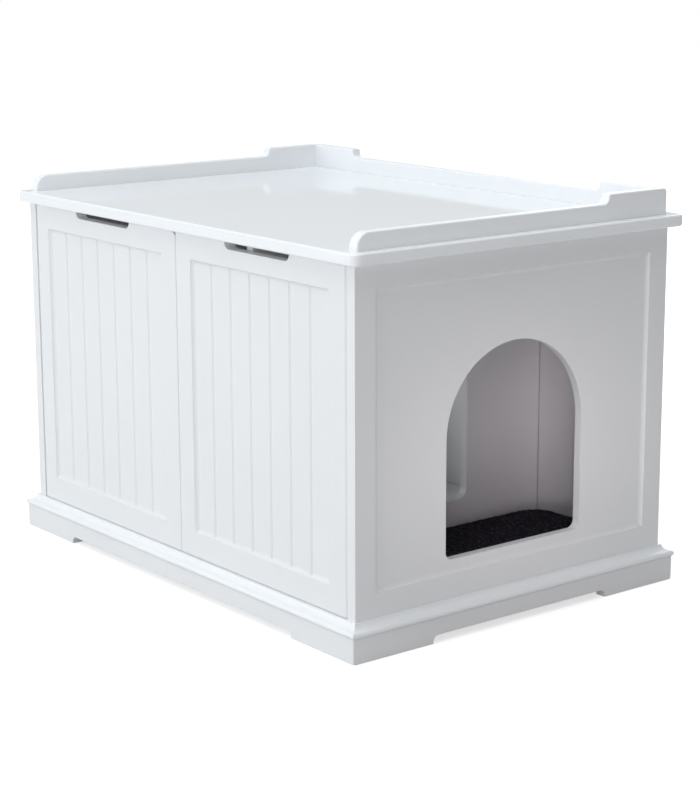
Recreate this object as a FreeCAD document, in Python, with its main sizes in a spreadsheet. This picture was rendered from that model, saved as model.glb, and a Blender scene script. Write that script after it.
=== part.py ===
import FreeCAD, Part
import math
import os
import re
import Sketcher

# Cat house: a white painted fibreboard cabinet that hides a litter tray
#
# A cat walks in through the arch in the right side, crosses an entry room with a carpet mat, and goes
# through a doorway in the divider to the room with the tray. Two inset doors on hidden pivot pins open the
# whole front. A low gallery rail runs round three sides of the top, and a plinth with bracket feet
# carries the base board with its moulded edge.
# Millimetres. X runs along the doors, Y from the doors to the back, Z up. The origin is on the floor,
# in the middle of the cabinet.

SIZES = {
    # Carcass: base board, two sides, back, divider and top
    "body_length": 720,
    "body_depth": 500,
    "wall_height": 416,
    "side_thickness": 15,
    "back_thickness": 10,
    "back_play": 0.5,
    "rebate_depth": 7,
    "base_thickness": 15,
    "base_overhang": 15,
    "top_thickness": 15,
    "top_overhang": 15,
    "top_front_overhang": 12,
    "top_rear_overhang": 17,
    "top_corner": 11,
    "top_ease": 3,
    "divider_x": 137,
    "divider_thickness": 12,
    "divider_play": 1.5,
    # Moulded edge of the base board: a ledge, a hollow cove and a round bead
    "ledge": 3.4,
    "quirk": 1,
    "cove_radius": 9,
    "bead_radius": 3.8,
    # Plinth with bracket feet
    "plinth_height": 31,
    "plinth_thickness": 15,
    "plinth_setback": 2.4,
    "foot_length": 120,
    "foot_gap": 10,
    "foot_cove": 8,
    "foot_ease": 3.5,
    "block_side": 40,
    "block_cut": 22,
    "block_height": 25,
    "block_screw_inset": 14,
    # Sunk field in the outside of each side panel, and the cat's way through
    "panel_margin": 30,
    "panel_recess": 4,
    "hollow_radius": 6,
    "arch_width": 220,
    "arch_sill": 46.5,
    "arch_rise": 145,
    "arch_corner": 10,
    "doorway_sill": 40,
    "doorway_corner": 14,
    # Gallery rail on the top
    "rail_thickness": 15,
    "rail_setback": 3,
    "rail_low": 21,
    "rail_high": 33,
    "rail_nose": 18,
    "rail_heel": 5,
    "rail_ease": 3.5,
    "rail_edge": 2,
    "gallery_step": 101,
    # Doors
    "door_thickness": 15,
    "seam_gap": 1,
    "hinge_gap": 0.9,
    "hinge_round": 4,
    "door_ease": 1,
    "door_margin": 32,
    "door_recess": 4,
    "groove_depth": 1.8,
    "groove_end": 2.5,
    "notch_length": 131,
    "notch_depth": 10,
    "notch_corner": 9,
    "clip_length": 8,
    "clip_height": 6,
    # Pivot pins of the doors and the bushes that they turn in
    "pivot_inset": 16,
    "pin_radius": 2.5,
    "pin_grip": 14,
    "pin_tip": 0.6,
    "bush_radius": 4,
    "bush_depth": 8,
    "flange_radius": 6,
    "flange_height": 0.5,
    "flange_play": 0.3,
    "pin_end_play": 0.5,
    # Double magnetic catch behind the meeting edges of the doors
    "catch_length": 52,
    "catch_depth": 14,
    "catch_height": 15,
    "ear_length": 9,
    "ear_height": 3,
    "magnet_spacing": 36,
    "magnet_drop": 10,
    "magnet_length": 14,
    "magnet_depth": 11,
    "magnet_height": 8,
    "magnet_proud": 0.5,
    "plate_length": 20,
    "plate_height": 10,
    "plate_thickness": 1.2,
    "catch_play": 0.3,
    # Fastenings inside the boards
    "fit": 0.05,
    "bore_end": 1,
    "base_screw_length": 45,
    "base_screw_radius": 2.5,
    "base_head_radius": 4,
    "base_head_height": 3,
    "base_screw_inset": 70,
    "divider_screw_inset": 100,
    "back_screw_length": 28,
    "back_screw_radius": 1.6,
    "back_head_radius": 3.2,
    "back_head_height": 2,
    "back_screw_inset": 43,
    "rail_screw_length": 29,
    "rail_screw_radius": 2,
    "rail_head_radius": 3.6,
    "rail_head_height": 2.6,
    "rail_screw_inset": 105,
    "back_rail_screw_inset": 120,
    "block_screw_length": 32,
    "block_screw_radius": 2,
    "block_head_radius": 3.6,
    "block_head_height": 2.6,
    "catch_screw_length": 13,
    "catch_screw_radius": 1.5,
    "catch_head_radius": 2.8,
    "catch_head_height": 1.8,
    "strike_screw_length": 11,
    "strike_screw_radius": 1.3,
    "strike_head_radius": 2.6,
    "cam_inset": 50,
    "cam_drop": 24,
    "cam_radius": 6,
    "cam_depth": 9.6,
    "cam_slot_depth": 1.5,
    "cam_slot_width": 1.6,
    "cam_bolt_radius": 3,
    "cam_neck_radius": 2,
    "cam_neck_length": 5,
    "cam_tail": 3,
    "cam_head_length": 2,
    "cam_thread_length": 11,
    "dowel_radius": 3,
    "dowel_length": 30,
    "dowel_in_top": 10,
    "dowel_ease": 0.8,
    "dowel_inset": 160,
    "divider_dowel_inset": 120,
    # Carpet mat on the floor of the entry room
    "mat_thickness": 7,
    "mat_corner": 40,
    "mat_play": 1.5,
    "mat_front": 16,
}

# Places that follow from the sizes
PLACES = {
    "half_length": "body_length / 2",
    "half_depth": "body_depth / 2",
    "base_top": "plinth_height + base_thickness",
    "wall_top": "base_top + wall_height",
    "top_face": "wall_top + top_thickness",
    "inside_x": "half_length - side_thickness",
    "side_middle": "half_length - side_thickness / 2",
    "back_y": "half_depth - back_thickness",
    "back_screw_x": "inside_x + rebate_depth / 2",
    "back_screw_grip": "back_screw_length - back_head_height - back_thickness",
    "base_half_length": "half_length + base_overhang",
    "base_half_depth": "half_depth + base_overhang",
    "top_half_length": "half_length + top_overhang",
    "top_front": "-half_depth - top_front_overhang",
    "top_rear": "half_depth + top_rear_overhang",
    "bead_level": "plinth_height + bead_radius",
    "plinth_half_length": "base_half_length - plinth_setback",
    "plinth_half_depth": "base_half_depth - plinth_setback",
    "foot_round": "min(foot_cove; 0.9 * foot_gap)",
    "block_x": "plinth_half_length - plinth_thickness",
    "block_y": "plinth_half_depth - plinth_thickness",
    "block_bottom": "plinth_height - block_height",
    "arch_half": "arch_width / 2",
    "arch_spring": "base_top + arch_sill + arch_rise",
    "panel_bottom": "base_top + panel_margin",
    "panel_top": "wall_top - panel_margin",
    "panel_reach": "half_depth - panel_margin",
    "panel_hollow": "sqrt(panel_recess * (2 * hollow_radius - panel_recess))",
    "rail_inside_x": "half_length - rail_thickness",
    "rail_middle": "half_length - rail_thickness / 2",
    "rail_end": "half_depth - rail_setback",
    "back_rail_middle": "rail_end - rail_thickness / 2",
    "rail_low_z": "top_face + rail_low",
    "rail_high_z": "top_face + rail_high",
    "rail_cove": "rail_high - rail_low - rail_ease",
    "step_end": "gallery_step + rail_ease + rail_cove",
    "rail_round": "min(rail_nose; 0.9 * rail_low)",
    "door_gap": "flange_height + flange_play",
    "door_bottom": "base_top + door_gap",
    "door_top": "wall_top - door_gap",
    "door_seam": "seam_gap / 2",
    "door_edge": "inside_x - hinge_gap",
    "door_middle": "(door_seam + door_edge) / 2",
    "door_back": "door_thickness - half_depth",
    "field_left": "door_seam + door_margin",
    "field_right": "door_edge - door_margin",
    "field_bottom": "door_bottom + door_margin",
    "field_top": "door_top - door_margin",
    "field_floor": "door_recess - half_depth",
    "door_hollow": "sqrt(door_recess * (2 * hollow_radius - door_recess))",
    "notch_round": "min(notch_corner; notch_depth)",
    "pivot_x": "door_edge - pivot_inset",
    "pivot_y": "door_thickness / 2 - half_depth",
    "magnet_y": "door_back + plate_thickness + catch_play",
    "catch_y": "magnet_y + magnet_proud",
    "catch_bottom": "wall_top - catch_height",
    "catch_half": "catch_length / 2",
    "ear_end": "catch_half + ear_length",
    "ear_middle": "catch_half + ear_length / 2",
    "ear_bottom": "wall_top - ear_height",
    "magnet_x": "magnet_spacing / 2",
    "magnet_z": "wall_top - magnet_drop",
    "cam_z": "wall_top - cam_drop",
    "cam_bolt_end": "cam_drop + cam_tail",
    "room_left": "divider_x + divider_thickness / 2",
    "mat_left": "room_left + mat_play",
    "mat_right": "inside_x - mat_play",
    "mat_near": "door_back + mat_front",
    "mat_far": "back_y - mat_play",
    "base_screw_spread": "body_depth - 2 * base_screw_inset",
    "divider_screw_spread": "body_depth - 2 * divider_screw_inset",
    "back_screw_spread": "wall_height - 2 * back_screw_inset",
    "rail_screw_spread": "body_depth - 2 * rail_screw_inset",
    "back_rail_screw_spread": "body_length - 2 * back_rail_screw_inset",
    "cam_spread": "body_depth - 2 * cam_inset",
    "dowel_spread": "body_depth - 2 * dowel_inset",
    "divider_dowel_spread": "body_depth - 2 * divider_dowel_inset",
}

GROOVES = 6
BASE_SCREW_COUNT = 3
BACK_SCREW_COUNT = 3
BACK_RAIL_SCREW_COUNT = 3
SPARE = 5  # How far a cutting outline stands clear of the wood that it cuts away

doc = FreeCAD.newDocument("cat_house")
sheet = doc.addObject("Spreadsheet::Sheet", "Sizes")
for line, (word, number) in enumerate(SIZES.items(), start=1):
    sheet.set(f"A{line}", str(number))
    sheet.setAlias(f"A{line}", word)
doc.recompute()


def expand(text):
    """Swaps each named place for its sum, and each named size for its cell in the sheet."""
    def swap(match):
        word = match.group()
        if word in PLACES:
            return "(" + expand(PLACES[word]) + ")"
        return "Sizes." + word if word in SIZES else word
    return re.sub(r"[a-z_]+", swap, text)


def value(text):
    """The number that an expression stands for now."""
    return float(sheet.evalExpression(expand(text)))


def mirrored(side, text):
    """An x or y on the given side of the middle plane: side is 1 or -1."""
    return text if side > 0 else f"-({text})"


# Bodies, sketches and features

def new_body(name):
    body = doc.addObject("PartDesign::Body", name)
    body.Label = name
    return body


def origin_of(body, role):
    return next(feature for feature in body.Origin.OriginFeatures if feature.Role == role)


# A plan is drawn in X and Y and set out along Z; a front view in X and Z, set out along -Y;
# a side view in Y and Z, set out along X.
VIEWS = {"plan": "XY_Plane", "front": "XZ_Plane", "side": "YZ_Plane"}


def new_sketch(body, name, view, offset):
    sketch = body.newObject("Sketcher::SketchObject", body.Name + "_" + name)
    sketch.AttachmentSupport = (origin_of(body, VIEWS[view]), [""])
    sketch.MapMode = "FlatFace"
    sketch.setExpression("AttachmentOffset.Base.z", expand(offset))
    return sketch


def tie(sketch, kind, place, text):
    """Adds one dimension to a sketch and binds it to the sheet."""
    index = sketch.addConstraint(Sketcher.Constraint(kind, *place, value(text)))
    sketch.setExpression(f"Constraints[{index}]", expand(text))


def arc_between(start, finish, radius, turn):
    """The short arc from start to finish that bends left (turn 1) or right (turn -1)."""
    chord = finish - start
    left = FreeCAD.Vector(-chord.y, chord.x, 0).normalize()
    reach = math.sqrt(max(radius ** 2 - chord.Length ** 2 / 4, 0))
    centre = (start + finish) / 2 + left * (turn * reach)
    low, high = (start - centre, finish - centre) if turn > 0 else (finish - centre, start - centre)
    from_angle = math.atan2(low.y, low.x)
    to_angle = math.atan2(high.y, high.x)
    if to_angle < from_angle:
        to_angle += 2 * math.pi
    circle = Part.Circle(centre, FreeCAD.Vector(0, 0, 1), radius)
    return Part.ArcOfCircle(circle, from_angle, to_angle)


def draw(sketch, corners):
    """Draws a closed outline through its corners, in order.

    A corner is (x, y) where a straight edge leaves it, or (x, y, radius, turn) where an arc does."""
    spots = [FreeCAD.Vector(value(corner[0]), value(corner[1]), 0) for corner in corners]
    first = sketch.GeometryCount
    ends = []
    for index, corner in enumerate(corners):
        start = spots[index]
        finish = spots[(index + 1) % len(spots)]
        if len(corner) == 2:
            sketch.addGeometry(Part.LineSegment(start, finish))
            ends.append((1, 2))
        else:
            sketch.addGeometry(arc_between(start, finish, value(corner[2]), corner[3]))
            ends.append((1, 2) if corner[3] > 0 else (2, 1))
    for index, corner in enumerate(corners):
        after = (index + 1) % len(corners)
        edge = first + index
        sketch.addConstraint(
            Sketcher.Constraint("Coincident", edge, ends[index][1], first + after, ends[after][0]))
        tie(sketch, "DistanceX", (-1, 1, edge, ends[index][0]), corner[0])
        tie(sketch, "DistanceY", (-1, 1, edge, ends[index][0]), corner[1])
        if len(corner) == 4:
            tie(sketch, "Radius", (edge,), corner[2])


def on_side(side, corners):
    """An outline set on one side of the middle plane: on the far side every arc bends the other way."""
    return [(mirrored(side, across), *rest[:2], *(turn * side for turn in rest[2:]))
            for across, *rest in corners]


def rectangle(left, low, right, high):
    return [(left, low), (right, low), (right, high), (left, high)]


def rounded_rectangle(left, low, right, high, corner):
    return [
        (f"{left} + {corner}", low), (f"{right} - {corner}", low, corner, 1),
        (right, f"{low} + {corner}"), (right, f"{high} - {corner}", corner, 1),
        (f"{right} - {corner}", high), (f"{left} + {corner}", high, corner, 1),
        (left, f"{high} - {corner}"), (left, f"{low} + {corner}", corner, 1)]


def circles(sketch, centres, radius):
    """Draws equal circles at the given (x, y) places."""
    for across, along in centres:
        middle = FreeCAD.Vector(value(across), value(along), 0)
        index = sketch.addGeometry(Part.Circle(middle, FreeCAD.Vector(0, 0, 1), value(radius)))
        tie(sketch, "DistanceX", (-1, 1, index, 3), across)
        tie(sketch, "DistanceY", (-1, 1, index, 3), along)
        tie(sketch, "Radius", (index,), radius)


def pad(body, sketch, length, back=False):
    """Adds wood along the sketch's outward direction, or back from it."""
    feature = body.newObject("PartDesign::Pad", sketch.Name + "_pad")
    feature.Profile = sketch
    feature.setExpression("Length", expand(length))
    feature.Reversed = back
    return feature


def pocket(body, sketch, depth=None, outward=False):
    """Cuts wood away behind the sketch, or in front of it: right through, or to a depth."""
    feature = body.newObject("PartDesign::Pocket", sketch.Name + "_cut")
    feature.Profile = sketch
    feature.Type = "ThroughAll" if depth is None else "Length"
    if depth is not None:
        feature.setExpression("Length", expand(depth))
    feature.Reversed = outward
    return feature


def bore(body, name, view, offset, centres, radius, depth, outward=False):
    """Drills equal holes with the fit's clearance round the piece that goes in."""
    sketch = new_sketch(body, name, view, offset)
    circles(sketch, centres, f"{radius} + fit")
    return pocket(body, sketch, depth, outward)


def round_off(body, feature, radius, chosen):
    """Rounds the edges of a feature whose bounding boxes pass the given test."""
    doc.recompute()
    rounds = body.newObject("PartDesign::Fillet", feature.Name + "_rounded")
    rounds.Base = (feature, [f"Edge{index}" for index, edge in enumerate(feature.Shape.Edges, start=1)
                             if chosen(edge.BoundBox)])
    rounds.setExpression("Radius", expand(radius))
    body.Tip = rounds
    doc.recompute()
    return rounds


def repeat(body, features, steps):
    """Repeats features along one or two axes: steps are (axis, length, copies)."""
    doc.recompute()
    pattern = body.newObject("PartDesign::LinearPattern", features[0].Name + "_row")
    pattern.Originals = features
    axis, length, copies = steps[0]
    pattern.Direction = (origin_of(body, axis), [""])
    pattern.setExpression("Length", expand(length))
    pattern.Occurrences = copies
    if len(steps) > 1:
        axis, length, copies = steps[1]
        pattern.Direction2 = (origin_of(body, axis), [""])
        pattern.setExpression("Length2", expand(length))
        pattern.Occurrences2 = copies
    body.Tip = pattern
    return pattern


def turned(body, name, at, axis, profile):
    """Turns a profile of (radius, distance along the axis) corners about an axis through a point."""
    x, y, z = at
    view = "front" if axis == "Z" else "plan"
    sketch = new_sketch(body, name, view, f"-({y})" if axis == "Z" else z)
    sketch.setExpression("AttachmentOffset.Base.x", expand(x))
    sketch.setExpression("AttachmentOffset.Base.y", expand(z if axis == "Z" else y))
    if axis == "X":
        profile = [(along, radius) for radius, along in profile]
    draw(sketch, profile)
    feature = body.newObject("PartDesign::Revolution", sketch.Name + "_turn")
    feature.Profile = sketch
    feature.ReferenceAxis = (sketch, ["H_Axis" if axis == "X" else "V_Axis"])
    feature.Angle = 360
    return feature


def screw(body, name, at, axis, way, kind):
    """A pan-head wood screw: its head starts at a point, and its tip lies the given way along the axis."""
    head = f"{kind}_head_radius"
    shank = f"{kind}_screw_radius"
    length = f"{kind}_screw_length"
    profile = [
        ("0", "0"), (head, "0"), (head, f"{kind}_head_height"), (shank, f"{kind}_head_height"),
        (shank, f"{length} - 2 * {shank}"), ("0", length)]
    return turned(body, name, at, axis, [(radius, mirrored(way, along)) for radius, along in profile])


def spread(length, copies):
    """Distances from the middle of a row of equally spaced fastenings."""
    return [f"{length} * {index / (copies - 1) - 0.5}" for index in range(copies)]


# Where the fastenings stand, as (x, y) in plan
SIDES = (1, -1)
DIVIDER_SCREWS = [("divider_x", along) for along in spread("divider_screw_spread", 2)]
DIVIDER_DOWELS = [("divider_x", along) for along in spread("divider_dowel_spread", 2)]
BLOCK_SCREWS = [
    (mirrored(x_side, "block_x - block_screw_inset"), mirrored(y_side, "block_y - block_screw_inset"))
    for x_side in SIDES for y_side in SIDES]
PIVOTS = [(mirrored(side, "pivot_x"), "pivot_y") for side in SIDES]
CATCH_SCREWS = [(mirrored(side, "ear_middle"), "catch_y + catch_depth / 2") for side in SIDES]
BACK_RAIL_SCREWS = [
    (across, "back_rail_middle") for across in spread("back_rail_screw_spread", BACK_RAIL_SCREW_COUNT)]
BACK_SCREW_LEVELS = [
    f"base_top + wall_height / 2 + {rise}" for rise in spread("back_screw_spread", BACK_SCREW_COUNT)]


def side_row(side, length, copies, across="side_middle"):
    """Places along the top or bottom edge of one side panel."""
    return [(mirrored(side, across), along) for along in spread(length, copies)]


def both_sides(length, copies, across="side_middle"):
    return [place for side in SIDES for place in side_row(side, length, copies, across)]


# Base board: the moulded section runs the whole length, then the same mould is cut across both ends
def moulded_edge(half):
    """From the underside up round the bead and the cove to the ledge, for an edge that overhangs half."""
    return [
        (f"{half} + base_overhang - bead_radius", "plinth_height", "bead_radius", 1),
        (f"{half} + base_overhang", "bead_level", "bead_radius", 1),
        (f"{half} + base_overhang - bead_radius", "bead_level + bead_radius", "cove_radius", -1),
        (f"{half} + ledge", "base_top - quirk"),
        (f"{half} + ledge", "base_top")]


def backwards(corners):
    """The same edge drawn from its last corner to its first, with every arc bending the other way."""
    result = []
    for index in range(len(corners) - 1, -1, -1):
        before = corners[index - 1] if index > 0 else ()
        arc = (before[2], -before[3]) if len(before) == 4 else ()
        result.append((corners[index][0], corners[index][1], *arc))
    return result


base_board = new_body("base_board")
section = new_sketch(base_board, "section", "side", "-base_half_length")
rear_edge = moulded_edge("half_depth")
front_edge = on_side(-1, backwards(rear_edge))
draw(section, rear_edge + front_edge)
pad(base_board, section, "2 * base_half_length")
for side in SIDES:
    word = "right" if side > 0 else "left"
    waste = new_sketch(base_board, f"end_waste_{word}", "front", "base_half_depth")
    edge = backwards(moulded_edge("half_length"))
    outside = [(f"base_half_length + {SPARE}", "plinth_height"), (f"base_half_length + {SPARE}", "base_top")]
    draw(waste, on_side(side, edge + outside))
    pocket(base_board, waste)
base_screw_places = both_sides("base_screw_spread", BASE_SCREW_COUNT) + DIVIDER_SCREWS
bore(base_board, "screw_holes", "plan", "plinth_height", base_screw_places, "base_screw_radius", None, True)
bore(base_board, "head_holes", "plan", "plinth_height", base_screw_places,
     "base_head_radius", "base_head_height + fit", True)
bore(base_board, "block_holes", "plan", "plinth_height", BLOCK_SCREWS,
     "block_screw_radius", "block_screw_length - block_height + bore_end", True)
bore(base_board, "bush_holes", "plan", "base_top", PIVOTS, "bush_radius", "bush_depth + fit")


# Plinth: four mitred rails, each cut away between two bracket feet
def plinth_rail(name, along, side):
    """A rail along X or Y, on the given side of the cabinet."""
    half, face = ("plinth_half_length", "plinth_half_depth")
    if along == "Y":
        half, face = face, half
    rail = new_body(name)
    # The front view looks along +Y, so its outward direction is -Y
    out = side if along == "Y" else -side
    outline = new_sketch(rail, "outline", "front" if along == "X" else "side", mirrored(out, face))
    draw(outline, [
        (f"foot_ease - {half}", "0"),
        (f"foot_length - {half}", "0"),
        (f"foot_length - {half}", "foot_gap - foot_round", "foot_round", -1),
        (f"foot_length + foot_round - {half}", "foot_gap"),
        (f"{half} - foot_length - foot_round", "foot_gap", "foot_round", -1),
        (f"{half} - foot_length", "foot_gap - foot_round"),
        (f"{half} - foot_length", "0"),
        (f"{half} - foot_ease", "0", "foot_ease", 1),
        (half, "foot_ease"),
        (half, "plinth_height"),
        (f"-({half})", "plinth_height"),
        (f"-({half})", "foot_ease", "foot_ease", 1)])
    pad(rail, outline, "plinth_thickness", back=out > 0)
    mitres = new_sketch(rail, "mitres", "plan", "plinth_height")
    for end in SIDES:
        triangle = [(half, face), (half, f"{face} - plinth_thickness"),
                    (f"{half} - plinth_thickness", f"{face} - plinth_thickness")]
        placed = [(mirrored(end, run), mirrored(side, depth)) for run, depth in triangle]
        draw(mitres, placed if along == "X" else [(depth, run) for run, depth in placed])
    pocket(rail, mitres)


plinth_rail("plinth_front", "X", -1)
plinth_rail("plinth_rear", "X", 1)
plinth_rail("plinth_left", "Y", -1)
plinth_rail("plinth_right", "Y", 1)

# Glue blocks in the four corners of the plinth, each held up to the base board by one screw
corner_blocks = new_body("corner_blocks")
block_outlines = new_sketch(corner_blocks, "outlines", "plan", "plinth_height")
for x_side in SIDES:
    for y_side in SIDES:
        block = [("block_x", "block_y"), ("block_x - block_side", "block_y"),
                 ("block_x - block_side", "block_y - block_side + block_cut"),
                 ("block_x - block_side + block_cut", "block_y - block_side"),
                 ("block_x", "block_y - block_side")]
        draw(block_outlines, [(mirrored(x_side, x), mirrored(y_side, y)) for x, y in block])
pad(corner_blocks, block_outlines, "block_height", back=True)
bore(corner_blocks, "screw_holes", "plan", "plinth_height", BLOCK_SCREWS, "block_screw_radius", None)


# Way through for the cat: a round arch on straight jambs, with rounded corners at the sill
def arch(sill, corner):
    return [
        (f"{corner} - arch_half", sill),
        (f"arch_half - {corner}", sill, corner, 1),
        ("arch_half", f"{sill} + {corner}"),
        ("arch_half", "arch_spring", "arch_half", 1),
        ("0", "arch_spring + arch_half", "arch_half", 1),
        ("-arch_half", "arch_spring"),
        ("-arch_half", f"{sill} + {corner}", corner, 1)]


# Sunk fields: flat, with a hollow edge that starts steep at the face and runs out level with the floor
def hollow_edges(edges, face, recess, width, depth_first):
    """Sections of the wood left in two opposite edges of a field, of which recess is the depth with its sign.

    Each section is a corner under an arc. The sketch has the depth as its first axis or as its second."""
    sections = []
    into = -1 if recess.startswith("-") else 1
    for edge, way in zip(edges, (1, -1)):
        floor = f"{face} + {recess}"
        turn = into * way
        corners = [(edge, face), (edge, floor), (f"{edge} + {way} * {width}", floor, "hollow_radius", turn)]
        if depth_first:
            corners = [(y, x, *(arc[:1] + [-arc[1]] if arc else ())) for x, y, *arc in corners]
        sections.append(corners)
    return sections


# Side panels: one board each, with a sunk field outside and a rebate for the back panel
def side_panel(name, side, has_arch):
    panel = new_body(name)
    outline = new_sketch(panel, "outline", "side", mirrored(side, "half_length"))
    draw(outline, rectangle("-half_depth", "base_top", "half_depth", "wall_top"))
    if has_arch:
        draw(outline, arch("base_top + arch_sill", "arch_corner"))
    pad(panel, outline, "side_thickness", back=side > 0)
    face = mirrored(side, "half_length")
    field = new_sketch(panel, "field", "side", face)
    draw(field, rectangle("-panel_reach", "panel_bottom", "panel_reach", "panel_top"))
    pocket(panel, field, "panel_recess", outward=side < 0)
    recess = mirrored(-side, "panel_recess")
    upright_edges = new_sketch(panel, "upright_edges", "plan", "panel_bottom")
    for section in hollow_edges(("-panel_reach", "panel_reach"), face, recess, "panel_hollow", True):
        draw(upright_edges, section)
    pad(panel, upright_edges, "panel_top - panel_bottom")
    level_edges = new_sketch(panel, "level_edges", "front", "panel_reach")
    for section in hollow_edges(("panel_bottom", "panel_top"), face, recess, "panel_hollow", True):
        draw(level_edges, section)
    pad(panel, level_edges, "2 * panel_reach", back=True)
    rebate = new_sketch(panel, "rebate", "plan", "wall_top")
    draw(rebate, [(mirrored(side, x), y) for x, y in rectangle(
        "inside_x", "back_y", "inside_x + rebate_depth", "half_depth")])
    pocket(panel, rebate)
    cam_levels = [(along, "cam_z") for along in spread("cam_spread", 2)]
    bore(panel, "cam_holes", "side", mirrored(side, "inside_x"), cam_levels,
         "cam_radius", "cam_depth + fit", outward=side > 0)
    bore(panel, "cam_bolt_holes", "plan", "wall_top", side_row(side, "cam_spread", 2),
         "cam_bolt_radius", "cam_bolt_end + fit")
    bore(panel, "dowel_holes", "plan", "wall_top", side_row(side, "dowel_spread", 2),
         "dowel_radius", "dowel_length - dowel_in_top + bore_end")
    bore(panel, "base_screw_holes", "plan", "base_top",
         side_row(side, "base_screw_spread", BASE_SCREW_COUNT),
         "base_screw_radius", "base_screw_length - base_thickness + bore_end", outward=True)
    bore(panel, "back_screw_holes", "front", "-(back_y)",
         [(mirrored(side, "back_screw_x"), level) for level in BACK_SCREW_LEVELS],
         "back_screw_radius", "back_screw_grip + bore_end", outward=True)


side_panel("side_panel_left", -1, has_arch=False)
side_panel("side_panel_right", 1, has_arch=True)

# Back panel: laid into the rebates from behind and screwed to the sides and the divider
back_panel = new_body("back_panel")
back_outline = new_sketch(back_panel, "outline", "front", "-(half_depth)")
back_reach = "inside_x + rebate_depth - back_play"
draw(back_outline, rectangle(f"-({back_reach})", "base_top", back_reach, "wall_top"))
pad(back_panel, back_outline, "back_thickness")
back_screw_places = [(across, level) for across in ("-(back_screw_x)", "back_screw_x", "divider_x")
                     for level in BACK_SCREW_LEVELS]
bore(back_panel, "screw_holes", "front", "-(half_depth)", back_screw_places, "back_screw_radius", None, True)

# Divider: stands between the entry room and the tray room, with a doorway like the entrance
divider = new_body("divider")
divider_outline = new_sketch(divider, "outline", "side", "room_left")
draw(divider_outline, rectangle("door_back + divider_play", "base_top", "back_y - back_play", "wall_top"))
draw(divider_outline, arch("base_top + doorway_sill", "doorway_corner"))
pad(divider, divider_outline, "divider_thickness", back=True)
bore(divider, "dowel_holes", "plan", "wall_top", DIVIDER_DOWELS,
     "dowel_radius", "dowel_length - dowel_in_top + bore_end")
bore(divider, "base_screw_holes", "plan", "base_top", DIVIDER_SCREWS,
     "base_screw_radius", "base_screw_length - base_thickness + bore_end", outward=True)
bore(divider, "back_screw_holes", "front", "-(back_y - back_play)",
     [("divider_x", level) for level in BACK_SCREW_LEVELS],
     "back_screw_radius", "back_screw_grip + back_play + bore_end", outward=True)

# Top board: rounded corners and eased edges, drilled from below only
top_board = new_body("top_board")
top_outline = new_sketch(top_board, "outline", "plan", "wall_top")
draw(top_outline, rounded_rectangle(
    "-top_half_length", "top_front", "top_half_length", "top_rear", "top_corner"))
top_blank = pad(top_board, top_outline, "top_thickness")
round_off(top_board, top_blank, "min(top_ease; 0.45 * top_thickness)",
          lambda box: box.ZLength < top_blank.Length.Value / 2)
rail_screw_places = both_sides("rail_screw_spread", 2, "rail_middle") + BACK_RAIL_SCREWS
bore(top_board, "rail_screw_holes", "plan", "wall_top", rail_screw_places, "rail_screw_radius", None, True)
bore(top_board, "rail_head_holes", "plan", "wall_top", rail_screw_places,
     "rail_head_radius", "rail_head_height + fit", True)
bore(top_board, "cam_bolt_holes", "plan", "wall_top", both_sides("cam_spread", 2),
     "cam_bolt_radius", "cam_thread_length + bore_end", True)
bore(top_board, "dowel_holes", "plan", "wall_top", both_sides("dowel_spread", 2) + DIVIDER_DOWELS,
     "dowel_radius", "dowel_in_top + bore_end", True)
bore(top_board, "bush_holes", "plan", "wall_top", PIVOTS, "bush_radius", "bush_depth + fit", True)
bore(top_board, "catch_screw_holes", "plan", "wall_top", CATCH_SCREWS,
     "catch_screw_radius", "catch_screw_length - ear_height + bore_end", True)


# Gallery: two side rails with a rounded front end, and a back rail between them. Each is low along most of
# its length and steps up through a hollow curve to the rear corners. Their upper edges are rounded over.
RAIL_EDGE = "min(rail_edge; 0.4 * rail_thickness)"
FLAT = 0.001


def above_top(box):
    return box.ZMax > value("top_face") + FLAT


def gallery_side(name, side):
    rail = new_body(name)
    outline = new_sketch(rail, "outline", "side", mirrored(side, "half_length"))
    draw(outline, [
        ("-rail_end", "top_face"),
        ("rail_end", "top_face"),
        ("rail_end", "rail_high_z - rail_heel", "rail_heel", 1),
        ("rail_end - rail_heel", "rail_high_z"),
        ("half_depth - gallery_step", "rail_high_z", "rail_ease", 1),
        ("half_depth - gallery_step - rail_ease", "rail_high_z - rail_ease", "rail_cove", -1),
        ("half_depth - step_end", "rail_low_z"),
        ("rail_round - rail_end", "rail_low_z", "rail_round", 1),
        ("-rail_end", "rail_low_z - rail_round")])
    blank = pad(rail, outline, "rail_thickness", back=side > 0)
    round_off(rail, blank, RAIL_EDGE, lambda box: box.XLength < FLAT and above_top(box))
    bore(rail, "screw_holes", "plan", "top_face", side_row(side, "rail_screw_spread", 2, "rail_middle"),
         "rail_screw_radius", "rail_screw_length - top_thickness + bore_end", outward=True)


gallery_side("gallery_left", -1)
gallery_side("gallery_right", 1)
gallery_back = new_body("gallery_back")
back_rail = new_sketch(gallery_back, "outline", "front", "-(rail_end)")
draw(back_rail, [
    ("-rail_inside_x", "top_face"),
    ("rail_inside_x", "top_face"),
    ("rail_inside_x", "rail_high_z"),
    ("half_length - gallery_step", "rail_high_z", "rail_ease", 1),
    ("half_length - gallery_step - rail_ease", "rail_high_z - rail_ease", "rail_cove", -1),
    ("half_length - step_end", "rail_low_z"),
    ("step_end - half_length", "rail_low_z", "rail_cove", -1),
    ("gallery_step + rail_ease - half_length", "rail_high_z - rail_ease", "rail_ease", 1),
    ("gallery_step - half_length", "rail_high_z"),
    ("-rail_inside_x", "rail_high_z")])
back_rail_blank = pad(gallery_back, back_rail, "rail_thickness")
round_off(gallery_back, back_rail_blank, RAIL_EDGE,
          lambda box: box.YLength < FLAT < box.XLength and above_top(box))
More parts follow.
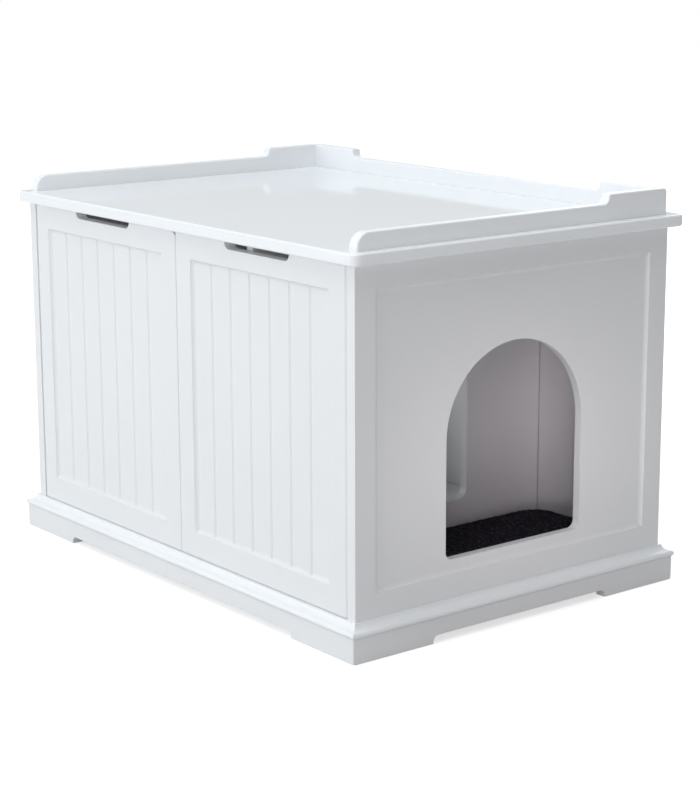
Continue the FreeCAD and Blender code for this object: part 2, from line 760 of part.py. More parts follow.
bore(gallery_back, "screw_holes", "plan", "top_face", BACK_RAIL_SCREWS,
     "rail_screw_radius", "rail_screw_length - top_thickness + bore_end", outward=True)


# Doors: one board each, with a sunk field cut by V grooves into seven planks and a finger notch in the top
# edge. The hinge edge is rounded so that it turns clear of the side panel.
def door(name, side):
    board = new_body(name)
    section = new_sketch(board, "section", "plan", "door_bottom")
    draw(section, on_side(side, [
        ("door_seam + door_ease", "-half_depth"),
        ("door_edge - hinge_round", "-half_depth", "hinge_round", 1),
        ("door_edge", "hinge_round - half_depth"),
        ("door_edge", "door_back"),
        ("door_seam", "door_back"),
        ("door_seam", "door_ease - half_depth", "door_ease", 1)]))
    pad(board, section, "door_top - door_bottom")
    notch = new_sketch(board, "notch", "front", "half_depth")
    draw(notch, on_side(side, [
        ("door_middle - notch_length / 2", f"door_top + {SPARE}"),
        ("door_middle - notch_length / 2", "door_top - notch_depth + notch_round", "notch_round", 1),
        ("door_middle - notch_length / 2 + notch_round", "door_top - notch_depth"),
        ("door_middle + notch_length / 2 - notch_round", "door_top - notch_depth", "notch_round", 1),
        ("door_middle + notch_length / 2", "door_top - notch_depth + notch_round"),
        ("door_middle + notch_length / 2", f"door_top + {SPARE}")]))
    pocket(board, notch)
    if side < 0:
        clip = new_sketch(board, "clipped_corner", "front", "half_depth")
        draw(clip, [("-(door_seam + clip_length)", "door_top"), ("-door_seam", "door_top - clip_height"),
                    ("-door_seam", "door_top")])
        pocket(board, clip)
    near, far = ("field_left", "field_right") if side > 0 else ("-(field_right)", "-(field_left)")
    field = new_sketch(board, "field", "front", "half_depth")
    draw(field, rectangle(near, "field_bottom", far, "field_top"))
    pocket(board, field, "door_recess")
    upright_edges = new_sketch(board, "upright_edges", "plan", "field_bottom")
    for section in hollow_edges((near, far), "-half_depth", "door_recess", "door_hollow", False):
        draw(upright_edges, section)
    pad(board, upright_edges, "field_top - field_bottom")
    level_edges = new_sketch(board, "level_edges", "side", near)
    for section in hollow_edges(
            ("field_bottom", "field_top"), "-half_depth", "door_recess", "door_hollow", True):
        draw(level_edges, section)
    pad(board, level_edges, "field_right - field_left")
    first_groove = new_sketch(board, "groove", "plan", "field_bottom + groove_end")
    plank = f"(field_right - field_left) / {GROOVES + 1}"
    start = f"{near} + {plank}"
    draw(first_groove, [
        (f"{start} - groove_depth - {SPARE / 2}", f"field_floor - {SPARE / 2}"),
        (f"{start} + groove_depth + {SPARE / 2}", f"field_floor - {SPARE / 2}"),
        (start, "field_floor + groove_depth")])
    groove = pocket(board, first_groove, "field_top - field_bottom - 2 * groove_end", outward=True)
    repeat(board, [groove], [("X_Axis", f"{plank} * {GROOVES - 1}", GROOVES)])
    pivot = [(mirrored(side, "pivot_x"), "pivot_y")]
    bore(board, "top_pin_hole", "plan", "door_top", pivot, "pin_radius", "pin_grip + fit")
    bore(board, "bottom_pin_hole", "plan", "door_bottom", pivot,
         "pin_radius", "pin_grip + fit", outward=True)
    bore(board, "strike_screw_hole", "front", "-(door_back)", [(mirrored(side, "magnet_x"), "magnet_z")],
         "strike_screw_radius", "strike_screw_length - plate_thickness + bore_end", outward=True)


door("door_left", -1)
door("door_right", 1)


# Pivot pins: steel pins pressed into the top and bottom edge of each door
def pivot_pins(name, side):
    pins = new_body(name)
    length = "pin_grip + door_gap + bush_depth - flange_height - pin_end_play"
    profile = [("0", "0"), ("pin_radius", "0"), ("pin_radius", f"{length} - pin_tip"),
               ("pin_radius - pin_tip", length), ("0", length)]
    for end, level, way in (("top", "door_top - pin_grip", 1), ("bottom", "door_bottom + pin_grip", -1)):
        turned(pins, end, (mirrored(side, "pivot_x"), "pivot_y", level), "Z",
               [(radius, mirrored(way, along)) for radius, along in profile])


pivot_pins("pivot_pins_left", -1)
pivot_pins("pivot_pins_right", 1)

# Pivot bushes: flanged nylon bushes let into the base board and the top board
pivot_bushes = new_body("pivot_bushes")
bush_profile = [
    ("pin_radius + fit", "-bush_depth"), ("bush_radius", "-bush_depth"), ("bush_radius", "0"),
    ("flange_radius", "0"), ("flange_radius", "flange_height"), ("pin_radius + fit", "flange_height")]
bushes = []
for end, level, way in (("lower", "base_top", 1), ("upper", "wall_top", -1)):
    bushes.append(turned(pivot_bushes, end, ("-pivot_x", "pivot_y", level), "Z",
                         [(radius, mirrored(way, along)) for radius, along in bush_profile]))
repeat(pivot_bushes, bushes, [("X_Axis", "2 * pivot_x", 2)])

# Double magnetic catch: a moulded housing screwed up under the top board by its ears, with two magnets
catch_housing = new_body("catch_housing")
catch_outline = new_sketch(catch_housing, "outline", "front", "-(catch_y)")
draw(catch_outline, [
    ("-ear_end", "wall_top"), ("-ear_end", "ear_bottom"), ("-catch_half", "ear_bottom"),
    ("-catch_half", "catch_bottom"), ("catch_half", "catch_bottom"), ("catch_half", "ear_bottom"),
    ("ear_end", "ear_bottom"), ("ear_end", "wall_top")])
pad(catch_housing, catch_outline, "catch_depth", back=True)


def magnet_faces(sketch, grow):
    """The two magnets seen from the front, each side grown by a clearance."""
    for side in SIDES:
        across = mirrored(side, "magnet_x")
        draw(sketch, rectangle(
            f"{across} - magnet_length / 2 - {grow}", f"magnet_z - magnet_height / 2 - {grow}",
            f"{across} + magnet_length / 2 + {grow}", f"magnet_z + magnet_height / 2 + {grow}"))


magnet_seats = new_sketch(catch_housing, "magnet_seats", "front", "-(catch_y)")
magnet_faces(magnet_seats, "fit")
pocket(catch_housing, magnet_seats, "magnet_depth - magnet_proud + fit")
bore(catch_housing, "screw_holes", "plan", "wall_top", CATCH_SCREWS, "catch_screw_radius", None)
catch_magnets = new_body("catch_magnets")
magnet_outlines = new_sketch(catch_magnets, "outlines", "front", "-(magnet_y)")
magnet_faces(magnet_outlines, "0")
pad(catch_magnets, magnet_outlines, "magnet_depth", back=True)


# Strike plates: thin steel plates on the backs of the doors, each held by one countersunk screw
def strike(word, side):
    blank = doc.addObject("Part::Box", f"strike_blank_{word}")
    blank.setExpression("Length", expand("plate_length"))
    blank.setExpression("Width", expand("plate_thickness"))
    blank.setExpression("Height", expand("plate_height"))
    blank.setExpression("Placement.Base.x", expand(f"{mirrored(side, 'magnet_x')} - plate_length / 2"))
    blank.setExpression("Placement.Base.y", expand("door_back"))
    blank.setExpression("Placement.Base.z", expand("magnet_z - plate_height / 2"))
    sink = doc.addObject("Part::Cone", f"strike_sink_{word}")
    sink.setExpression("Radius1", expand("strike_screw_radius + fit"))
    sink.setExpression("Radius2", expand("strike_head_radius + fit"))
    sink.setExpression("Height", expand("plate_thickness"))
    sink.Placement.Rotation = FreeCAD.Rotation(FreeCAD.Vector(1, 0, 0), -90)
    sink.setExpression("Placement.Base.x", expand(mirrored(side, "magnet_x")))
    sink.setExpression("Placement.Base.y", expand("door_back"))
    sink.setExpression("Placement.Base.z", expand("magnet_z"))
    plate = doc.addObject("Part::Cut", f"strike_plate_{word}")
    plate.Base = blank
    plate.Tool = sink
    plate.Label = f"strike_plate_{word}"
    pin = new_body(f"strike_screw_{word}")
    turned(pin, "profile", (mirrored(side, "magnet_x"), "door_back + plate_thickness", "magnet_z"), "Y", [
        ("0", "0"), ("strike_head_radius", "0"), ("strike_screw_radius", "-plate_thickness"),
        ("strike_screw_radius", "2 * strike_screw_radius - strike_screw_length"),
        ("0", "-strike_screw_length")])
    return plate


strike_plates = [strike("left", -1), strike("right", 1)]

# Screws, all driven from hidden faces
base_screws = new_body("base_screws")
base_row = screw(base_screws, "side", ("-side_middle", "-base_screw_spread / 2", "plinth_height"),
                 "Z", 1, "base")
repeat(base_screws, [base_row], [("Y_Axis", "base_screw_spread", BASE_SCREW_COUNT),
                                 ("X_Axis", "2 * side_middle", 2)])
divider_row = screw(base_screws, "divider", ("divider_x", "-divider_screw_spread / 2", "plinth_height"),
                    "Z", 1, "base")
repeat(base_screws, [divider_row], [("Y_Axis", "divider_screw_spread", 2)])

block_screws = new_body("block_screws")
block_row = screw(block_screws, "block", ("block_screw_inset - block_x", "block_screw_inset - block_y",
                                          "block_bottom - block_head_height"), "Z", 1, "block")
repeat(block_screws, [block_row], [("X_Axis", "2 * (block_x - block_screw_inset)", 2),
                                   ("Y_Axis", "2 * (block_y - block_screw_inset)", 2)])

gallery_screws = new_body("gallery_screws")
rail_row = screw(gallery_screws, "sides", ("-rail_middle", "-rail_screw_spread / 2", "wall_top"),
                 "Z", 1, "rail")
repeat(gallery_screws, [rail_row], [("Y_Axis", "rail_screw_spread", 2), ("X_Axis", "2 * rail_middle", 2)])
back_rail_row = screw(gallery_screws, "back", ("-back_rail_screw_spread / 2", "back_rail_middle", "wall_top"),
                      "Z", 1, "rail")
repeat(gallery_screws, [back_rail_row], [("X_Axis", "back_rail_screw_spread", BACK_RAIL_SCREW_COUNT)])

back_screws = new_body("back_screws")
lowest = "base_top + wall_height / 2 - back_screw_spread / 2"
edge_row = screw(back_screws, "sides", ("-back_screw_x", "half_depth + back_head_height", lowest),
                 "Y", -1, "back")
repeat(back_screws, [edge_row], [("Z_Axis", "back_screw_spread", BACK_SCREW_COUNT),
                                 ("X_Axis", "2 * back_screw_x", 2)])
middle_row = screw(back_screws, "divider", ("divider_x", "half_depth + back_head_height", lowest),
                   "Y", -1, "back")
repeat(back_screws, [middle_row], [("Z_Axis", "back_screw_spread", BACK_SCREW_COUNT)])

catch_screws = new_body("catch_screws")
catch_row = screw(catch_screws, "ears", ("-ear_middle", "catch_y + catch_depth / 2",
                                         "ear_bottom - catch_head_height"), "Z", 1, "catch")
repeat(catch_screws, [catch_row], [("X_Axis", "2 * ear_middle", 2)])

# Cam fittings that pull the top board down on the sides: a bolt in the board and a cam nut in the panel
cam_bolts = new_body("cam_bolts")
bolt = turned(cam_bolts, "bolt", ("-side_middle", "-cam_spread / 2", "wall_top"), "Z", [
    ("0", "-cam_bolt_end"), ("cam_bolt_radius", "-cam_bolt_end"),
    ("cam_bolt_radius", "cam_head_length - cam_bolt_end"),
    ("cam_neck_radius", "cam_head_length - cam_bolt_end"),
    ("cam_neck_radius", "cam_head_length + cam_neck_length - cam_bolt_end"),
    ("cam_bolt_radius", "cam_head_length + cam_neck_length - cam_bolt_end"),
    ("cam_bolt_radius", "cam_thread_length"), ("0", "cam_thread_length")])
repeat(cam_bolts, [bolt], [("Y_Axis", "cam_spread", 2), ("X_Axis", "2 * side_middle", 2)])

cam_nuts = new_body("cam_nuts")
nuts = []
for side in SIDES:
    word = "right" if side > 0 else "left"
    nuts.append(turned(cam_nuts, word, (mirrored(side, "inside_x"), "-cam_spread / 2", "cam_z"), "X", [
        ("0", "0"), ("cam_radius", "0"), ("cam_radius", mirrored(side, "cam_depth")),
        ("0", mirrored(side, "cam_depth"))]))
    nuts.append(bore(cam_nuts, f"{word}_bolt_way", "plan", "cam_z + cam_radius",
                     [(mirrored(side, "side_middle"), "-cam_spread / 2")],
                     "cam_bolt_radius", "cam_radius + cam_tail + fit"))
    slot = new_sketch(cam_nuts, f"{word}_slot", "side", mirrored(side, "inside_x"))
    draw(slot, rectangle("-cam_spread / 2 - cam_slot_width / 2", f"cam_z - cam_radius - {SPARE}",
                         "cam_slot_width / 2 - cam_spread / 2", f"cam_z + cam_radius + {SPARE}"))
    nuts.append(pocket(cam_nuts, slot, "cam_slot_depth", outward=side > 0))
repeat(cam_nuts, nuts, [("Y_Axis", "cam_spread", 2)])

# Wooden dowels that line up the top board with the sides and the divider
dowels = new_body("dowels")
peg_profile = [
    ("0", "dowel_in_top"), ("dowel_radius - dowel_ease", "dowel_in_top"),
    ("dowel_radius", "dowel_in_top - dowel_ease"),
    ("dowel_radius", "dowel_in_top - dowel_length + dowel_ease"),
    ("dowel_radius - dowel_ease", "dowel_in_top - dowel_length"), ("0", "dowel_in_top - dowel_length")]
side_peg = turned(dowels, "side", ("-side_middle", "-dowel_spread / 2", "wall_top"), "Z", peg_profile)
repeat(dowels, [side_peg], [("Y_Axis", "dowel_spread", 2), ("X_Axis", "2 * side_middle", 2)])
divider_peg = turned(dowels, "divider", ("divider_x", "-divider_dowel_spread / 2", "wall_top"),
                     "Z", peg_profile)
repeat(dowels, [divider_peg], [("Y_Axis", "divider_dowel_spread", 2)])

# Carpet mat: cut with round corners and laid loose on the floor of the entry room
floor_mat = new_body("floor_mat")
mat_outline = new_sketch(floor_mat, "outline", "plan", "base_top")
draw(mat_outline, rounded_rectangle("mat_left", "mat_near", "mat_right", "mat_far", "mat_corner"))
pad(floor_mat, mat_outline, "mat_thickness")

# Every feature is sound and every cut removed wood before anything is written
doc.recompute()
pieces = [thing for thing in doc.Objects if thing.TypeId == "PartDesign::Body"] + strike_plates
for thing in doc.Objects:
    if "Invalid" in thing.State or "Error" in thing.State:
        raise RuntimeError(f"{thing.Name} failed: {thing.State}")
    if thing.TypeId == "PartDesign::Pocket" and thing.Shape.Volume > thing.BaseFeature.Shape.Volume - 1e-3:
        raise RuntimeError(f"{thing.Name} cuts nothing")
for piece in pieces:
    if piece.Shape.isNull() or not piece.Shape.isValid():
        raise RuntimeError(f"{piece.Label} has no sound shape")

os.makedirs("parts", exist_ok=True)
for piece in pieces:
    piece.Shape.exportStep(f"parts/{piece.Label}.step")
    print(f"{piece.Label}: {len(piece.Shape.Solids)} solid(s), {piece.Shape.Volume / 1000:.2f} cm3")
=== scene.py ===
import math

import bpy
import numpy as np
from mathutils import Matrix, Vector


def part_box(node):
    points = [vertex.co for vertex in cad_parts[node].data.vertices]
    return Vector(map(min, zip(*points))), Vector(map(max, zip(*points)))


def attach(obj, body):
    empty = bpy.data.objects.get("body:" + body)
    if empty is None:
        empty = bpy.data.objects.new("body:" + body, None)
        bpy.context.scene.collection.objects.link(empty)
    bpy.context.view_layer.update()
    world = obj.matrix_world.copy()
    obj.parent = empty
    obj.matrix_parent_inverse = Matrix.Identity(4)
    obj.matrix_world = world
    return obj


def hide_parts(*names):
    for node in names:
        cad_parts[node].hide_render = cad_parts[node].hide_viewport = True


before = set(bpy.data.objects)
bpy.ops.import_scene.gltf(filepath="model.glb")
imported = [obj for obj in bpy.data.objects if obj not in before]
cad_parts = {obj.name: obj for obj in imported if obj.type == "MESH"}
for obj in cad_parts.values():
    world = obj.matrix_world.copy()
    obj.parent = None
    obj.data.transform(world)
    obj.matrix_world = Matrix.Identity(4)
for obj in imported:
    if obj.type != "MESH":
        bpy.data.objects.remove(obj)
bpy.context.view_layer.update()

# Plinth and base board
# Mitred rails with bracket feet under a board with a moulded edge, all cut from fibreboard, filled,
# sanded and sprayed with satin white lacquer, a little whiter on the board than on rails and panels.
# The rails are glued and blocked to the board.

PANEL_WHITE = (0.80, 0.804, 0.810)
PANEL_ROUGHNESS = 0.38
FRAME_WHITE = (0.865, 0.880, 0.895)
FRAME_ROUGHNESS = 0.36
SMOOTHER = 0.006
ROUGHER = 0.012
SMOOTH_PATCH = 0.05
CLOUD_SIZE = 0.16
CLOUD_TONE = 0.975
CLOUD_SHARE = 0.6
THIN_COAT = (0.70, 0.685, 0.655)
SPECK_SIZE = 0.006
SPECK_SHARE = 0.12
RUB_SIZE = 0.02
RUB_SHARE = 0.1
EASED_RADIUS = 0.0009
PEEL_SIZE = 0.0022
PEEL_DEPTH = 0.000008
SWELL_SIZE = 0.05
SWELL_DEPTH = 0.00002
# Painted shade laid into inner corners where boards meet, and how far it reaches
PAINTED_JOINT_SHADE = (0.20, 0.19, 0.19)
PAINTED_SHADE_REACH = 0.0025


class Wiring:
    """A tree of shader nodes. Each method adds a node, with its inputs linked or set, and gives back the
    node or its output."""

    def __init__(self, tree):
        self.tree = tree

    def add(self, kind, inputs=None, **settings):
        node = self.tree.nodes.new(kind)
        for word, setting in settings.items():
            setattr(node, word, setting)
        for socket, source in (inputs or {}).items():
            self.feed(node.inputs[socket], source)
        return node

    def feed(self, socket, source):
        """Links a socket to another node's output, or sets it to a plain value."""
        if isinstance(source, bpy.types.NodeSocket):
            self.tree.links.new(source, socket)
        else:
            socket.default_value = source

    def times(self, first, second):
        return self.add("ShaderNodeMath", {0: first, 1: second}, operation="MULTIPLY").outputs["Value"]

    def spread(self, source, low, high, to_low=0.0, to_high=1.0):
        """Draws the stretch from low to high of a value out to another stretch."""
        inputs = {"Value": source, "From Min": low, "From Max": high, "To Min": to_low, "To Max": to_high}
        return self.add("ShaderNodeMapRange", inputs).outputs["Result"]


class Finish(Wiring):
    """A material worked out from the place on the piece and fed to one shader."""

    # Places of the colour sockets on a mix node
    COLOUR_INPUTS = (6, 7)
    COLOUR_OUTPUT = 2

    def __init__(self, name):
        self.material = bpy.data.materials.new(name)
        self.material.use_nodes = True
        super().__init__(self.material.node_tree)
        self.shader = self.tree.nodes["Principled BSDF"]
        self.place = self.add("ShaderNodeTexCoord").outputs["Object"]

    def noise(self, size, detail=2.0, place=None):
        """Clouds about as wide as the given size in metres."""
        inputs = {"Vector": place or self.place, "Scale": 1 / size, "Detail": detail}
        return self.add("ShaderNodeTexNoise", inputs).outputs["Fac"]

    def blend(self, share, first, second):
        """One colour turning into another as the share goes from 0 to 1."""
        inputs = {"Factor": share}
        for socket, colour in zip(self.COLOUR_INPUTS, (first, second)):
            inputs[socket] = (*colour, 1.0) if isinstance(colour, tuple) else colour
        return self.add("ShaderNodeMix", inputs, data_type="RGBA").outputs[self.COLOUR_OUTPUT]

    def bump(self, height, depth, strength, normal=None):
        inputs = {"Height": height, "Distance": depth, "Strength": strength}
        if normal:
            inputs["Normal"] = normal
        return self.add("ShaderNodeBump", inputs).outputs["Normal"]

    def eased(self, radius):
        """The normal of edges eased to a radius, and how near each spot is to such an edge: the more the
        eased normal leans from the straight one, the nearer."""
        normal = self.add("ShaderNodeBevel", {"Radius": radius}, samples=6).outputs["Normal"]
        straight = self.add("ShaderNodeNewGeometry").outputs["Normal"]
        lean = self.add("ShaderNodeVectorMath", {0: normal, 1: straight}, operation="DOT_PRODUCT")
        return normal, self.spread(lean.outputs["Value"], low=0.995, high=0.8)

    def painted_corner_shade(self, reach):
        """Painted shade: how near each spot lies to an inner corner, of its own piece or with another,
        where shade falls: 1 is in it.
        """
        open_share = self.add("ShaderNodeAmbientOcclusion", {"Distance": reach}, samples=8).outputs["AO"]
        return self.spread(open_share, low=0.95, high=0.5)

    def done(self, **inputs):
        for word, source in inputs.items():
            self.feed(self.shader.inputs[word.replace("_", " ")], source)
        return self.material


def dress(material, *names):
    """Gives a material to pieces of the frame."""
    for name in names:
        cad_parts[name].material_slots[0].material = material


def white_paint(name, white, roughness, painted_shade_share=0.0):
    """Sprayed lacquer: faint clouds in the white, orange peel, and eased edges where the coat is thinner.
    Where joints show, a share of painted shade darkens the colour close to the inner corners."""
    paint = Finish(name)
    normal, edge = paint.eased(EASED_RADIUS)
    clouds = paint.spread(paint.noise(CLOUD_SIZE, detail=4.0), low=0.35, high=0.7)
    specks = paint.spread(paint.noise(SPECK_SIZE, detail=3.0), low=0.6, high=0.8)
    rubs = paint.spread(paint.noise(RUB_SIZE, detail=3.0), low=0.4, high=0.8)
    cloudy = tuple(CLOUD_TONE * part for part in white)
    colour = paint.blend(paint.times(clouds, CLOUD_SHARE), white, cloudy)
    colour = paint.blend(paint.times(specks, SPECK_SHARE), colour, THIN_COAT)
    colour = paint.blend(paint.times(paint.times(edge, rubs), RUB_SHARE), colour, THIN_COAT)
    # Painted shade: the colour darkens close to inner corners, where shade falls.
    if painted_shade_share:
        colour = paint.blend(paint.times(paint.painted_corner_shade(PAINTED_SHADE_REACH), painted_shade_share), colour, PAINTED_JOINT_SHADE)
    rough = paint.spread(paint.noise(SMOOTH_PATCH, detail=3.0), low=0.3, high=0.75,
                         to_low=roughness - SMOOTHER, to_high=roughness + ROUGHER)
    peel = paint.bump(paint.noise(PEEL_SIZE), PEEL_DEPTH, strength=0.3, normal=normal)
    swell = paint.bump(paint.noise(SWELL_SIZE, detail=1.0), SWELL_DEPTH, strength=0.2, normal=peel)
    return paint.done(Base_Color=colour, Roughness=rough, Normal=swell)


panel_paint = white_paint("panel_paint", PANEL_WHITE, PANEL_ROUGHNESS)
frame_paint = white_paint("frame_paint", FRAME_WHITE, FRAME_ROUGHNESS)
dress(panel_paint, "plinth_front", "plinth_rear", "plinth_left", "plinth_right")
dress(frame_paint, "base_board")

# Corner blocks
# Offcuts of sawn pine, left raw and glued upright into the corners of the plinth. One screw through each
# goes up into the base board.

PINE_EARLY = (0.70, 0.52, 0.32)
PINE_LATE = (0.50, 0.31, 0.15)
PINE_RING = 0.003
UPRIGHT_GRAIN = (1.0, 1.0, 0.08)
RINGS_PER_WAVER = 6
WAVE_RADIANS = 20
PORE_SIZE = 0.0008
PORE_DEPTH = 0.0002


def raw_wood(name, early, late, ring):
    """Growth rings drawn out along an upright grain and wavering a little, with fine pores. A wave texture
    turns through its radians in each unit of its scaled place, so a ring size is one radian."""
    wood = Finish(name)
    place = wood.add("ShaderNodeMapping", {"Vector": wood.place, "Scale": UPRIGHT_GRAIN}).outputs["Vector"]
    wavering = wood.noise(ring * RINGS_PER_WAVER, detail=3.0, place=place)
    wave = {"Vector": place, "Scale": 1 / (ring * WAVE_RADIANS), "Distortion": 6.0, "Detail": 3.0}
    rings = wood.add("ShaderNodeTexWave", wave, wave_type="RINGS").outputs["Fac"]
    band = wood.times(rings, wood.spread(wavering, low=0.25, high=0.75, to_low=0.5))
    pores = wood.noise(PORE_SIZE, place=place)
    colour = wood.blend(band, early, late)
    colour = wood.blend(wood.spread(pores, low=0.55, high=0.75, to_high=0.35), colour, late)
    rough = wood.spread(pores, low=0.3, high=0.7, to_low=0.62, to_high=0.8)
    return wood.done(Base_Color=colour, Roughness=rough, Normal=wood.bump(pores, PORE_DEPTH, strength=0.5))


dress(raw_wood("raw_pine", PINE_EARLY, PINE_LATE, PINE_RING), "corner_blocks")

# Screws and strike plates
# Steel wood screws, cold headed, and the plates on the backs of the doors that the catch draws on. All are
# zinc plated, with a faint bluish passivation.

ZINC = (0.60, 0.61, 0.62)
ZINC_DULL = (0.42, 0.43, 0.45)
ZINC_ROUGHNESS = 0.34
DULL_PATCH = 0.004
PIT_SIZE = 0.0006
PIT_DEPTH = 0.00005


def bare_metal(name, bright, dull, roughness):
    """Metal with cloudy dulling and fine pits."""
    metal = Finish(name)
    clouds = metal.noise(DULL_PATCH, detail=4.0)
    pits = metal.noise(PIT_SIZE)
    colour = metal.blend(metal.spread(clouds, low=0.35, high=0.7), bright, dull)
    rough = metal.spread(clouds, low=0.3, high=0.7, to_low=roughness - 0.06, to_high=roughness + 0.1)
    normal = metal.bump(pits, PIT_DEPTH, strength=0.4)
    return metal.done(Base_Color=colour, Metallic=1.0, Roughness=rough, Normal=normal)


dress(bare_metal("zinc_plate", ZINC, ZINC_DULL, ZINC_ROUGHNESS), "base_screws", "block_screws",
      "gallery_screws", "back_screws", "catch_screws", "strike_screw_left", "strike_screw_right",
      "strike_plate_left", "strike_plate_right")

# Side panels, back panel and divider
# Fibreboard sheets: the sides have a sunk field with hollow edges routed outside, and the right one has
# an arched entrance. The back lies in rebates, screwed from behind, and the divider stands behind the
# right door. Where these two meet, painted shade darkens their paint in the corner as a thin dark line.

# Share of painted shade in the corner where the back and the divider meet
INSIDE_PAINTED_SHADE_SHARE = 0.5
inside_paint_painted_shade = white_paint("inside_paint_painted_shade", PANEL_WHITE, PANEL_ROUGHNESS, INSIDE_PAINTED_SHADE_SHARE)
dress(panel_paint, "side_panel_left", "side_panel_right")
dress(inside_paint_painted_shade, "back_panel", "divider")

# Top board and gallery
# The top is a fibreboard sheet with rounded corners, lacquered glossier than the rest because it is wiped.
# Cam fittings of cast zinc and beech dowels hold it on the sides, and the gallery rails are screwed up
# from below.

TOP_ROUGHNESS = 0.08
dress(white_paint("top_paint", FRAME_WHITE, TOP_ROUGHNESS), "top_board")
dress(frame_paint, "gallery_left", "gallery_right", "gallery_back")
CAST_ZINC = (0.52, 0.52, 0.53)
CAST_ZINC_DULL = (0.36, 0.36, 0.37)
CAST_ROUGHNESS = 0.46
dress(bare_metal("cast_zinc", CAST_ZINC, CAST_ZINC_DULL, CAST_ROUGHNESS), "cam_bolts", "cam_nuts")
BEECH = (0.72, 0.54, 0.36)
BEECH_FLECK = (0.55, 0.37, 0.22)
BEECH_RING = 0.0012
dress(raw_wood("raw_beech", BEECH, BEECH_FLECK, BEECH_RING), "dowels")

# Doors
# One board each, routed with a sunk field of grooved planks and a finger notch, then sprayed all over.
# Steel pins in the top and bottom edges turn in nylon bushes.

dress(panel_paint, "door_left", "door_right")
PIN_STEEL = (0.58, 0.57, 0.56)
PIN_DULL = (0.40, 0.39, 0.38)
PIN_ROUGHNESS = 0.28
dress(bare_metal("drawn_steel", PIN_STEEL, PIN_DULL, PIN_ROUGHNESS), "pivot_pins_left", "pivot_pins_right")
NYLON = (0.80, 0.79, 0.75)
NYLON_SHADE = (0.70, 0.69, 0.64)
NYLON_ROUGHNESS = 0.45
NYLON_GRAIN = 0.0008
TONE_PATCH = 0.012
GRAIN_DEPTH = 0.00004


def moulded(name, light, shade, roughness, grain):
    """A piece from a mould: a slight unevenness of tone and a fine grain of the given size."""
    stuff = Finish(name)
    clouds = stuff.noise(TONE_PATCH, detail=3.0)
    sparks = stuff.noise(grain)
    colour = stuff.blend(stuff.spread(clouds, low=0.3, high=0.7), light, shade)
    rough = stuff.spread(sparks, low=0.3, high=0.7, to_low=roughness - 0.05, to_high=roughness + 0.08)
    normal = stuff.bump(sparks, GRAIN_DEPTH, strength=0.5)
    return stuff.done(Base_Color=colour, Roughness=rough, Normal=normal)


dress(moulded("natural_nylon", NYLON, NYLON_SHADE, NYLON_ROUGHNESS, NYLON_GRAIN), "pivot_bushes")

# Magnetic catch
# A white moulded housing, screwed up under the top behind the seam of the doors. Two magnets of sintered
# ferrite in it draw on the strike plates.

CATCH_WHITE = (0.76, 0.76, 0.75)
CATCH_SHADE = (0.68, 0.68, 0.66)
CATCH_ROUGHNESS = 0.5
CATCH_GRAIN = 0.001
dress(moulded("catch_white", CATCH_WHITE, CATCH_SHADE, CATCH_ROUGHNESS, CATCH_GRAIN), "catch_housing")
FERRITE = (0.055, 0.055, 0.06)
FERRITE_DUST = (0.11, 0.11, 0.115)
FERRITE_ROUGHNESS = 0.7
FERRITE_GRAIN = 0.0005
sintered_ferrite = moulded("sintered_ferrite", FERRITE, FERRITE_DUST, FERRITE_ROUGHNESS, FERRITE_GRAIN)
dress(sintered_ferrite, "catch_magnets")

# Floor mat
# Charcoal needle-felt carpet with a short curly pile, cut with round corners and laid loose in the entry
# room. A surface with the pile and a rounded rim stands for the plain solid.

MAT_CORNER = 0.040
MAT_CELL = 0.0014
MAT_PILE = 0.0011
MAT_RIM = 0.0035
MAT_SEED = 7
CURL_PASSES = 1
CURL_SHARE = 0.22
TUFT_PASSES = 6
TUFT_SHARE = 0.16


def rounded_square(across, along, half_across, half_along, corner):
    """Grid shares from -1 to 1 laid on a rectangle, with each corner square pressed into a quarter disc:
    a point at shares (a, b) of that square goes to (a * sqrt(1 - b * b / 2), b * sqrt(1 - a * a / 2))."""
    x = across * half_across
    y = along * half_along
    a = np.clip((np.abs(x) - half_across + corner) / corner, 0, 1)
    b = np.clip((np.abs(y) - half_along + corner) / corner, 0, 1)
    x_pressed = half_across - corner + corner * a * np.sqrt(1 - b * b / 2)
    y_pressed = half_along - corner + corner * b * np.sqrt(1 - a * a / 2)
    x = np.where(a > 0, np.sign(x) * x_pressed, x)
    y = np.where(b > 0, np.sign(y) * y_pressed, y)
    return x, y


def smoothed(field, passes):
    """Each cell becomes the mean of itself and its four neighbours, several times over, and the field is
    then divided by its standard deviation."""
    for _ in range(passes):
        field = (field + np.roll(field, 1, 0) + np.roll(field, -1, 0)
                 + np.roll(field, 1, 1) + np.roll(field, -1, 1)) / 5
    return field / field.std()


def mat_mesh(name, points):
    """A mesh of quads over a grid of points shaped (rows, columns, 3), whose rim lies flat, closed below
    by one face round the rim."""
    rows, columns, _ = points.shape
    index = np.arange(rows * columns).reshape(rows, columns)
    quads = np.stack([index[:-1, :-1], index[1:, :-1], index[1:, 1:], index[:-1, 1:]], axis=-1)
    rim = np.concatenate([index[0], index[1:, -1], index[-1, -2::-1], index[-2:0:-1, 0]])
    mesh = bpy.data.meshes.new(name)
    mesh.from_pydata(points.reshape(-1, 3), [], quads.reshape(-1, 4).tolist() + [rim.tolist()])
    return mesh


